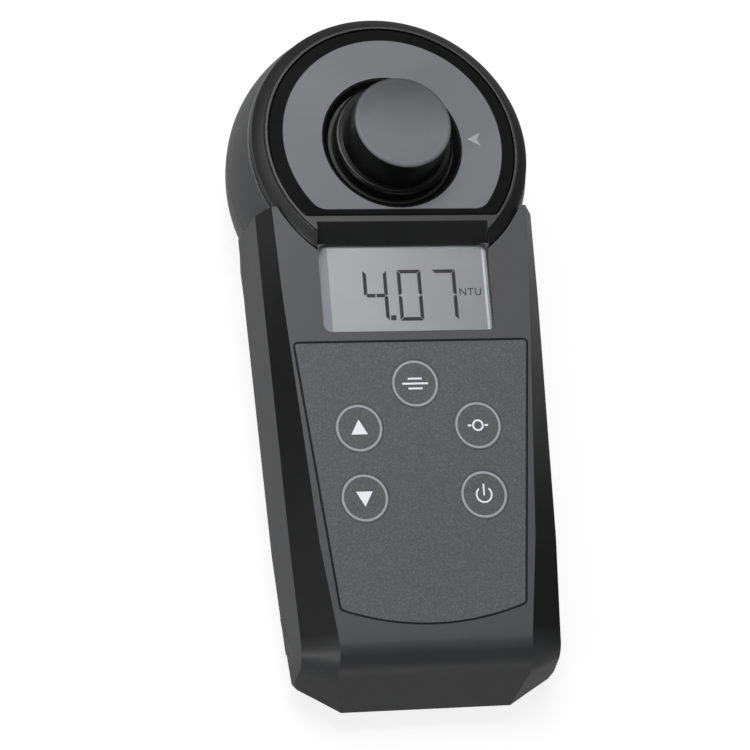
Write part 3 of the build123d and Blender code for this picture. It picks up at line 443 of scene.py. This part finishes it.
mark_light = plastic("mark_light", grey(0.64), grey(0.72), 0.5, 5000.0, 0.000004)
# Near-black for the painted shade in the groove round the keypad
groove_shade_black = plastic("groove_shade_black", grey(0.002), grey(0.003), 0.6, 5000.0, 0.000004, specular=0.2)
figure_ink = plastic("figure_ink", grey(0.025), grey(0.035), 0.4, 5000.0, 0.000004)

FINISHES = {
    "front_shell": shell_black,
    "rear_shell": shell_black,
    "battery_cover": shell_black,
    "housing_gasket": seal_rubber,
    "battery_cover_seal": seal_rubber,
    "head_bezel": bezel_black,
    "head_overlay": overlay_print,
    "well_ring": ring_black,
    "optics_block": block_black,
    "ir_led": lamp_epoxy,
    "scatter_detector": lamp_epoxy,
    "sensor_boards": board_green,
    "sensor_cable": cable_film,
    "sample_vial": glass,
    "vial_cap": cap_black,
    "vial_cap_liner": liner_white,
    "light_shield": shield_black,
    "lcd_window": pane,
    "lcd_module": display_grey,
    "lcd_connectors": strip_rubber,
    "keypad_overlay": keypad_film,
    "main_board": board_green,
    "board_chips": chip_black,
    "board_screws": steel,
    "key_domes": spring_steel,
    "battery_plates": spring_steel,
    "battery_springs": spring_steel,
    "cover_screws": steel,
    "cover_inserts": brass,
    "case_screws": steel,
}
for name, node in nodes.items():
    if name.startswith("battery_") and name[-1].isdigit():
        finish = cell_sleeve
    elif name.startswith("key_") and name != "key_domes":
        finish = keypad_film
    else:
        finish = FINISHES[name]
    node.data.materials.clear()
    node.data.materials.append(finish)


# Modelling helpers
def begin_piece(name):
    """The active object becomes a piece of this name."""
    piece = bpy.context.object
    piece.name = name
    piece.data.name = name
    return piece


def deselect():
    bpy.ops.object.select_all(action="DESELECT")


def use_only(*pieces):
    deselect()
    for piece in pieces:
        piece.select_set(True)
    bpy.context.view_layer.objects.active = pieces[0]


def begin_named(piece, name):
    use_only(piece)
    return begin_piece(name)


def settle(piece, turn, place):
    """Turns a flat piece and puts it at its place, with its place in its mesh."""
    piece.data.transform(Matrix.Translation(place) @ turn)
    piece.data.update()


def joined(name, pieces):
    use_only(*pieces)
    bpy.ops.object.join()
    return begin_piece(name)


def thicken(piece, thickness):
    """Gives a flat piece this thickness, in millimetres, on its upper side."""
    solid = piece.modifiers.new("thickness", "SOLIDIFY")
    solid.thickness = thickness * MM
    solid.offset = 1.0
    use_only(piece)
    bpy.ops.object.modifier_apply(modifier=solid.name)


def finish_piece(piece, body, material):
    piece.data.materials.clear()
    piece.data.materials.append(material)
    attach(piece, body)


def flat_ring(outer, inner, vertices=96):
    deselect()
    bpy.ops.mesh.primitive_circle_add(vertices=vertices, radius=outer * MM, fill_type="NOTHING")
    ring = bpy.context.object
    bpy.ops.object.mode_set(mode="EDIT")
    bpy.ops.mesh.select_all(action="SELECT")
    bpy.ops.mesh.extrude_edges_move()
    share = inner / outer
    bpy.ops.transform.resize(value=(share, share, 1.0))
    bpy.ops.mesh.select_all(action="SELECT")
    bpy.ops.mesh.normals_make_consistent(inside=False)
    bpy.ops.object.mode_set(mode="OBJECT")
    return ring


def flat_shape(points):
    """A flat face that looks up, with these corner points in millimetres."""
    deselect()
    bpy.ops.mesh.primitive_circle_add(vertices=len(points), radius=MM, fill_type="NGON")
    shape = bpy.context.object
    for vertex, (x, y) in zip(shape.data.vertices, points):
        vertex.co = (x * MM, y * MM, 0.0)
    if shape.data.polygons[0].normal.z < 0:
        shape.data.flip_normals()
    shape.data.update()
    return shape


DECK_TURN = Matrix.Rotation(-SLOPE, 4, "X").inverted()
MARK_LIFT = 0.01
MARK_THICKNESS = 0.03
ARC_STEPS = 24


def print_on_deck(name, shapes, x, drop, body, material, height=MARK_LIFT):
    """Flat shapes become one printed mark on the sloping front, or at a height over it."""
    piece = joined(name, shapes) if len(shapes) > 1 else begin_named(shapes[0], name)
    thicken(piece, MARK_THICKNESS)
    settle(piece, DECK_TURN, deck_point(x, drop, height))
    finish_piece(piece, body, material)
    return piece


def bar(x0, y0, x1, y1):
    return flat_shape([(x0, y0), (x1, y0), (x1, y1), (x0, y1)])


def arc_band(radius, width, start, stop):
    """A flat band along an arc, from one angle to another in degrees."""
    angles = [radians(start + (stop - start) * i / ARC_STEPS) for i in range(ARC_STEPS + 1)]
    outer_radius, inner_radius = radius + width / 2, radius - width / 2
    outer = [(outer_radius * cos(a), outer_radius * sin(a)) for a in angles]
    inner = [(inner_radius * cos(a), inner_radius * sin(a)) for a in reversed(angles)]
    return flat_shape(outer + inner)


# Key legends: a printed ring on each key, with a plain symbol in it. Each key has its place
# across and below the head's axis
KEY_RING = 4.87
KEY_RING_WIDTH = 0.48
KEYS = {
    "read": (0.0, 54.9),
    "up": (-13.35, 64.4),
    "cal": (13.35, 64.4),
    "down": (-13.35, 79.6),
    "power": (13.35, 79.6),
}
for key, (x, drop) in KEYS.items():
    ring = flat_ring(KEY_RING + KEY_RING_WIDTH / 2, KEY_RING - KEY_RING_WIDTH / 2)
    print_on_deck(f"key_{key}_ring", [ring], x, drop, f"key_{key}", mark_grey)
symbols = {
    "up": [flat_shape([(-1.85, -1.40), (1.85, -1.40), (0.0, 1.90)])],
    "down": [flat_shape([(-1.85, 1.40), (0.0, -1.90), (1.85, 1.40)])],
    "power": [arc_band(1.70, 0.36, 130, 410), bar(-0.18, -0.2, 0.18, 2.35)],
    "read": [bar(-2.9, -0.21, 2.9, 0.21), bar(-1.6, 0.9, 1.6, 1.3), bar(-1.6, -1.3, 1.6, -0.9)],
    "cal": [arc_band(1.1, 0.4, 0, 359), bar(-2.3, -0.2, -1.5, 0.2), bar(1.5, -0.2, 2.3, 0.2)],
}
for key, shapes in symbols.items():
    x, drop = KEYS[key]
    print_on_deck(f"key_{key}_symbol", shapes, x, drop, f"key_{key}", mark_light)

# Painted shade: a dark band along the edge of the keypad sheet, standing for the shade in the groove
# round it
PAD_TOP = 45.12
PAD_BOTTOM = 103.5
PAD_LOWEST = 107.23
PAD_HALF_TOP = 26.73
PAD_HALF_BOTTOM = 20.93
PAD_MIDDLE = 76.0
PAD_CORNER = 1.1
PAD_LINE = 0.44
CURVE_STEPS = 12
CORNER_STEPS = 6
NEARLY_STRAIGHT = radians(82)


def rounded_outline(corners, radius):
    """Corner points of a closed outline with its sharp corners rounded."""
    points = []
    for before, corner, after in zip(corners[-1:] + corners[:-1], corners, corners[1:] + corners[:1]):
        corner = Vector(corner)
        back, ahead = (Vector(before) - corner).normalized(), (Vector(after) - corner).normalized()
        half = back.angle(ahead) / 2
        if half > NEARLY_STRAIGHT:
            points.append(tuple(corner))
            continue
        centre = corner + (back + ahead).normalized() * radius / sin(half)
        start = corner + back * radius / tan(half) - centre
        stop = corner + ahead * radius / tan(half) - centre
        for i in range(CORNER_STEPS + 1):
            points.append(tuple(centre + start.slerp(stop, i / CORNER_STEPS)))
    return points


def flat_band(points, width):
    """A flat band of this width inside an outline."""
    band = flat_shape(points)
    bpy.ops.object.mode_set(mode="EDIT")
    bpy.ops.mesh.select_all(action="SELECT")
    bpy.ops.mesh.inset(thickness=width * MM, depth=0.0)
    bpy.ops.mesh.delete(type="FACE")
    bpy.ops.object.mode_set(mode="OBJECT")
    return band


pad_corners = []
for i in range(-CURVE_STEPS, CURVE_STEPS + 1):
    share = i / CURVE_STEPS
    drop = PAD_LOWEST - (PAD_LOWEST - PAD_BOTTOM) * share**2
    pad_corners.append((PAD_HALF_BOTTOM * share, (PAD_MIDDLE - drop) / cos(SLOPE)))
for half_width in (PAD_HALF_TOP, -PAD_HALF_TOP):
    pad_corners.append((half_width, (PAD_MIDDLE - PAD_TOP) / cos(SLOPE)))
keypad_shade_line = flat_band(rounded_outline(pad_corners, PAD_CORNER), PAD_LINE)
print_on_deck("keypad_shade_line", [keypad_shade_line], 0.0, PAD_MIDDLE, "housing", groove_shade_black)

# Index mark on the overlay, beside the light shield
INDEX_ARROW = [(17.3, 0.7), (20.3, -1.0), (19.6, 0.65), (20.4, 2.25)]
index_mark = begin_named(flat_shape(INDEX_ARROW), "index_mark")
thicken(index_mark, MARK_THICKNESS)
settle(index_mark, Matrix.Identity(4), Vector((0, HEAD_Y, FACE_Z + MARK_LIFT)) * MM)
finish_piece(index_mark, "housing", mark_grey)

# Figures of the display, each built of the segments that are on
FIGURE_HEIGHT = 11.5
FIGURE_WIDTH = 5.4
FIGURE_DROP = 34.8
FIGURE_PLACES = {"4": -6.6, "0": 1.2, "7": 9.1}
STROKE = 0.80
SEGMENT_GAP = 0.12
POINT_PLACE = (-3.0, 39.8)
UNIT_PLACE = (14.9, 34.3)
UNIT_SIZE = 2.4
DISPLAY_SURFACE = -2.0
FIGURE_LIFT = 0.004
SEGMENTS = {
    "0": "abcdef",
    "4": "bcfgh",
    "7": "abc",
}


def segment(letter):
    """One segment: a top, b and c right, d bottom, e and f left, g and h halves of the middle."""
    w, h, t, g = FIGURE_WIDTH / 2, FIGURE_HEIGHT / 2, STROKE, SEGMENT_GAP
    shapes = {
        "a": [(-w + g, h), (-w + t, h - t), (w - t, h - t), (w - g, h)],
        "d": [(-w + g, -h), (w - g, -h), (w - t, -h + t), (-w + t, -h + t)],
        "g": [(-w + g + t / 2, 0), (-w + t, -t / 2), (-g, -t / 2), (-g, t / 2), (-w + t, t / 2)],
        "h": [(g, -t / 2), (w - t, -t / 2), (w - g - t / 2, 0), (w - t, t / 2), (g, t / 2)],
        "b": [(w, h - g), (w - t, h - t - g), (w - t, t / 2 + g / 2), (w - t / 2, g), (w, g)],
        "c": [(w, -h + g), (w, -g), (w - t / 2, -g), (w - t, -t / 2 - g / 2), (w - t, -h + t + g)],
        "f": [(-w, h - g), (-w, g), (-w + t / 2, g), (-w + t, t / 2 + g / 2), (-w + t, h - t - g)],
        "e": [(-w, -h + g), (-w + t, -h + t + g), (-w + t, -t / 2 - g / 2), (-w + t / 2, -g), (-w, -g)],
    }
    return flat_shape(shapes[letter])


def print_on_display(name, shapes, x, drop):
    level = DISPLAY_SURFACE + FIGURE_LIFT
    print_on_deck(name, shapes, x, drop, "housing", figure_ink, level)


for figure, x in FIGURE_PLACES.items():
    shapes = [segment(letter) for letter in SEGMENTS[figure]]
    print_on_display(f"figure_{figure}", shapes, x, FIGURE_DROP)
print_on_display("figure_point", [bar(-0.6, -0.55, 0.6, 0.55)], *POINT_PLACE)

deselect()
bpy.ops.object.text_add()
unit_mark = bpy.context.object
unit_mark.data.body = "NTU"
unit_mark.data.align_x = "CENTER"
unit_mark.data.align_y = "CENTER"
unit_mark.data.size = UNIT_SIZE * MM
unit_mark.data.space_character = 1.1
use_only(unit_mark)
bpy.ops.object.convert(target="MESH")
print_on_display("figure_unit", [bpy.context.object], *UNIT_PLACE)

# Clear pane of the display: thinner than its solid, so that the figures lie in air under it
PANE_HALF_WIDTH = 19.2
PANE_HALF_LENGTH = 9.75
PANE_DROP = 33.45
PANE_TOP = -1.2
PANE_THICKNESS = 0.7
deselect()
bpy.ops.mesh.primitive_cube_add(size=1.0)
window = begin_piece("display_window")
window.scale = (2 * PANE_HALF_WIDTH * MM, 2 * PANE_HALF_LENGTH * MM, PANE_THICKNESS * MM)
use_only(window)
bpy.ops.object.transform_apply(location=False, rotation=False, scale=True)
edge = window.modifiers.new("edge", "BEVEL")
edge.width = 0.12 * MM
edge.segments = 2
bpy.ops.object.modifier_apply(modifier=edge.name)
settle(window, DECK_TURN, deck_point(0.0, PANE_DROP, PANE_TOP - PANE_THICKNESS / 2))
finish_piece(window, "housing", pane)
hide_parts("lcd_window")


# Shells and bezel with softened edges
MERGE_DISTANCE = 0.002
FLAT_TURN = radians(0.6)
EDGE_TURN = radians(18)
SMOOTH_TURN = radians(28)


def softened(node_name, piece_name, body, width):
    """A copy of a solid whose corners are rounded as a mould leaves them."""
    piece = nodes[node_name].copy()
    piece.data = nodes[node_name].data.copy()
    for key in list(piece.keys()):
        del piece[key]
    piece.parent = None
    piece.name = piece_name
    piece.data.name = piece_name
    scene.collection.objects.link(piece)
    use_only(piece)
    bpy.ops.object.mode_set(mode="EDIT")
    bpy.ops.mesh.select_all(action="SELECT")
    bpy.ops.mesh.remove_doubles(threshold=MERGE_DISTANCE * MM)
    bpy.ops.mesh.dissolve_limited(angle_limit=FLAT_TURN)
    bpy.ops.object.mode_set(mode="OBJECT")
    edge = piece.modifiers.new("edge", "BEVEL")
    edge.width = width * MM
    edge.segments = 3
    edge.limit_method = "ANGLE"
    edge.angle_limit = EDGE_TURN
    edge.use_clamp_overlap = True
    edge.harden_normals = False
    bpy.ops.object.modifier_apply(modifier=edge.name)
    bpy.ops.object.shade_smooth_by_angle(angle=SMOOTH_TURN)
    flat_faces = piece.modifiers.new("flat_faces", "WEIGHTED_NORMAL")
    flat_faces.keep_sharp = True
    flat_faces.weight = 100
    bpy.ops.object.modifier_apply(modifier=flat_faces.name)
    finish_piece(piece, body, nodes[node_name].data.materials[0])
    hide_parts(node_name)
    return piece


front_moulding = softened("front_shell", "front_shell_moulding", "housing", 0.35)

# Rounded corners of the display's opening, part of the same moulding
OPENING_HALF_WIDTH = 19.34
OPENING_TOP = 23.72
OPENING_BOTTOM = 43.18
OPENING_CORNER = 1.7
OPENING_DEPTH = 1.1
OPENING_STEPS = 8
opening_middle = (OPENING_TOP + OPENING_BOTTOM) / 2
half_length = (OPENING_BOTTOM - OPENING_TOP) / 2 / cos(SLOPE)
fillers = []
for side, end in ((1, 1), (-1, 1), (-1, -1), (1, -1)):
    corner = (side * OPENING_HALF_WIDTH, end * half_length)
    centre = (corner[0] - side * OPENING_CORNER, corner[1] - end * OPENING_CORNER)
    arc = []
    for i in range(OPENING_STEPS + 1):
        turn = radians(90 * i / OPENING_STEPS)
        reach = (side * OPENING_CORNER * cos(turn), end * OPENING_CORNER * sin(turn))
        arc.append((centre[0] + reach[0], centre[1] + reach[1]))
    filler = flat_shape((arc[::-1] if side * end < 0 else arc) + [corner])
    thicken(filler, OPENING_DEPTH)
    settle(filler, DECK_TURN, deck_point(0.0, opening_middle, -OPENING_DEPTH))
    filler.data.materials.clear()
    filler.data.materials.append(shell_black)
    fillers.append(filler)
use_only(front_moulding, *fillers)
bpy.ops.object.join()

# The slanted facets beside the front have a smoother finish than the rest of the moulding, and a darker
# colour that is painted shade. They are the faces below the drum and off the middle that are turned
# outwards and upwards
FACET_START = 18.0
FACET_TOP = 29.0
FACET_OUTWARD = (0.22, 0.95)
FACET_UPWARD = 0.1
front_moulding.data.materials.append(facet_shaded_black)
for polygon in front_moulding.data.polygons:
    normal, centre = polygon.normal, polygon.center
    slanted = FACET_OUTWARD[0] < abs(normal.x) < FACET_OUTWARD[1] and normal.z > FACET_UPWARD
    if slanted and abs(centre.x) > FACET_START * MM and centre.y < FACET_TOP * MM:
        polygon.material_index = 1
softened("rear_shell", "rear_shell_moulding", "housing", 0.25)
softened("head_bezel", "head_bezel_moulding", "housing", 0.15)

# Screws with cross recesses, their heads towards the back
HEAD_RADIUS = 2.3
SHANK_RADIUS = 1.25
RECESS_WIDTH = 0.62
RECESS_REACH = 2.7
RECESS_TURN = radians(20)
PART_REACH = 6.0


def cylinder(radius, low, high, vertices=40):
    """A cylinder on the Z axis between two heights, all in millimetres."""
    deselect()
    bpy.ops.mesh.primitive_cylinder_add(vertices=vertices, radius=radius * MM, depth=(high - low) * MM)
    solid = bpy.context.object
    solid.data.transform(Matrix.Translation((0, 0, (low + high) / 2 * MM)))
    return solid


def box(size_x, size_y, low, high):
    """A box on the Z axis between two heights, all in millimetres."""
    deselect()
    bpy.ops.mesh.primitive_cube_add(size=1.0)
    solid = bpy.context.object
    solid.data.transform(Matrix.Diagonal((size_x * MM, size_y * MM, (high - low) * MM, 1.0)))
    solid.data.transform(Matrix.Translation((0, 0, (low + high) / 2 * MM)))
    return solid


def cut(solid, tool):
    """Takes the tool's shape out of the solid and removes the tool."""
    change = solid.modifiers.new("cut", "BOOLEAN")
    change.operation = "DIFFERENCE"
    change.object = tool
    change.solver = "EXACT"
    use_only(solid)
    bpy.ops.object.modifier_apply(modifier=change.name)
    bpy.data.objects.remove(tool, do_unlink=True)


def bevelled(solid, width, segments=3, smallest_turn=40.0):
    edge = solid.modifiers.new("edge", "BEVEL")
    edge.width = width * MM
    edge.segments = segments
    edge.limit_method = "ANGLE"
    edge.angle_limit = radians(smallest_turn)
    use_only(solid)
    bpy.ops.object.modifier_apply(modifier=edge.name)


def screw(head_height, recess_depth, shank_length):
    """A pan-head screw on its axis: head from its outer face at 0 up to its seat, shank above."""
    head = cylinder(HEAD_RADIUS, 0.0, head_height)
    bevelled(head, 0.35 * head_height)
    for size in ((RECESS_REACH, RECESS_WIDTH), (RECESS_WIDTH, RECESS_REACH)):
        cut(head, box(*size, -0.2, recess_depth))
    shank = cylinder(SHANK_RADIUS, head_height - 0.05, head_height + shank_length, 24)
    bevelled(shank, 0.3, 1)
    return joined("screw", [head, shank])


def screw_set(name, node_name, places, pattern):
    """Copies of one screw at these places, x, y and height of the outer face in millimetres."""
    copies = []
    for place in places:
        copy = pattern.copy()
        copy.data = pattern.data.copy()
        scene.collection.objects.link(copy)
        turn = Matrix.Rotation(RECESS_TURN, 4, "Z")
        copy.data.transform(Matrix.Translation(Vector(place) * MM) @ turn)
        copies.append(copy)
    bpy.data.objects.remove(pattern, do_unlink=True)
    screws = joined(name, copies)
    bpy.ops.object.shade_smooth_by_angle(angle=radians(30))
    finish_piece(screws, "housing", steel)
    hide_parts(node_name)


def node_places(node_name):
    """Middles and lowest points of the separate parts of a solid, in millimetres."""
    groups = []
    for vertex in nodes[node_name].data.vertices:
        point = vertex.co / MM
        for group in groups:
            if (Vector(group[0][:2]) - Vector(point[:2])).length < PART_REACH:
                group.append(tuple(point))
                break
        else:
            groups.append([tuple(point)])
    places = []
    for group in groups:
        xs, ys, zs = zip(*group)
        places.append(((min(xs) + max(xs)) / 2, (min(ys) + max(ys)) / 2, min(zs)))
    return places


screw_set("case_screw_set", "case_screws", node_places("case_screws"), screw(1.6, 1.0, 10.0))
screw_set("cover_screw_set", "cover_screws", node_places("cover_screws"), screw(0.8, 0.6, 5.0))

# Cap of the vial with a fluted grip
CAP_RADIUS = 9.3
FLUTE_DEPTH = 0.28
FLUTES = 36
SIDES_PER_FLUTE = 4
CAP_FOOT = 31.6
CAP_TOP = 42.0
CAP_CEILING = 40.8
BORE_GAP = 0.1
axis_place = Vector((0, HEAD_Y * MM))
liner_points = nodes["vial_cap_liner"].data.vertices
cap_bore = max((Vector(point.co[:2]) - axis_place).length for point in liner_points) / MM
fluted_cap = cylinder(CAP_RADIUS, CAP_FOOT, CAP_TOP, SIDES_PER_FLUTE * FLUTES)
flute_share = 1.0 - FLUTE_DEPTH / CAP_RADIUS
for vertex in fluted_cap.data.vertices:
    # The cylinder's points come in pairs, one below and one above
    if (vertex.index // 2) % SIDES_PER_FLUTE == 0:
        vertex.co.x *= flute_share
        vertex.co.y *= flute_share
bevelled(fluted_cap, 0.35, 2, 60.0)
cut(fluted_cap, cylinder(cap_bore + BORE_GAP, CAP_FOOT - 1.0, CAP_CEILING, 96))
fluted_cap.data.transform(Matrix.Translation((0, HEAD_Y * MM, 0)))
use_only(fluted_cap)
bpy.ops.object.shade_smooth_by_angle(angle=radians(25))
fluted_cap = begin_piece("fluted_cap")
finish_piece(fluted_cap, "vial_cap", cap_black)
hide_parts("vial_cap")

# Floor: a pale plane for light and shadow that looks near white to the camera and in reflections
FLOOR_DROP = 0.1
FLOOR_GLOW = 1.03
FLOOR_GLOW_MIRRORED = 0.5
FLOOR_GLOW_SHARE = 0.82
deselect()
bpy.ops.mesh.primitive_plane_add(size=6.0, location=(0, 0, -FLOOR_DROP * MM))
floor = bpy.context.object
floor.name = "floor"
floor_material, floor_tree, floor_shader = start_material("floor_white", (0.80, 0.80, 0.80, 1.0), 0.9)
floor_shader.inputs["Specular IOR Level"].default_value = 0.1
light_path = floor_tree.nodes.new("ShaderNodeLightPath")
glow = floor_tree.nodes.new("ShaderNodeEmission")
glow.inputs["Color"].default_value = (1.0, 1.0, 1.0, 1.0)
mirrored = light_path.outputs["Is Glossy Ray"]
glow_strength = value_range(floor_tree, mirrored, 0.0, 1.0, FLOOR_GLOW, FLOOR_GLOW_MIRRORED)
floor_tree.links.new(glow_strength, glow.inputs["Strength"])
floor_mix = floor_tree.nodes.new("ShaderNodeMixShader")
direct, through = light_path.outputs["Is Camera Ray"], light_path.outputs["Is Transmission Ray"]
seen = math_node(floor_tree, "MAXIMUM", direct, through)
seen = math_node(floor_tree, "MULTIPLY", seen, FLOOR_GLOW_SHARE)
floor_tree.links.new(math_node(floor_tree, "MAXIMUM", seen, mirrored), floor_mix.inputs[0])
floor_tree.links.new(floor_shader.outputs[0], floor_mix.inputs[1])
floor_tree.links.new(glow.outputs[0], floor_mix.inputs[2])
floor_tree.links.new(floor_mix.outputs[0], floor_tree.nodes["Material Output"].inputs["Surface"])
floor.data.materials.append(floor_material)


def soft_light(name, place, target, size, power):
    data = bpy.data.lights.new(name, "AREA")
    data.shape = "RECTANGLE"
    data.size, data.size_y = size
    data.energy = power
    lamp = bpy.data.objects.new(name, data)
    lamp.location = place
    lamp.rotation_euler = (Vector(target) - Vector(place)).to_track_quat("-Z", "Y").to_euler()
    scene.collection.objects.link(lamp)


# Lamps: place and target in metres, size in metres, power in watts
soft_light("overhead", (-0.21, 0.46, 1.13), (0, 0, 0), (0.7, 0.7), 18.5)
soft_light("left_strip", (-1.1, -0.66, 0.66), (0, 0, 0.02), (0.2, 0.4), 6.0)
soft_light("front_strip", (0.15, -1.2, 0.12), (0, 0, 0.02), (0.8, 0.15), 1.5)

# World: plain light, white where the camera sees it
WORLD_LIGHT = 0.10
world = bpy.data.worlds.new("studio")
scene.world = world
world.use_nodes = True
world_tree = world.node_tree
background = world_tree.nodes["Background"]
world_path = world_tree.nodes.new("ShaderNodeLightPath")
background.inputs["Color"].default_value = (1.0, 1.0, 1.0, 1.0)
in_view = world_path.outputs["Is Camera Ray"]
world_strength = value_range(world_tree, in_view, 0.0, 1.0, WORLD_LIGHT, 1.0)
world_tree.links.new(world_strength, background.inputs["Strength"])
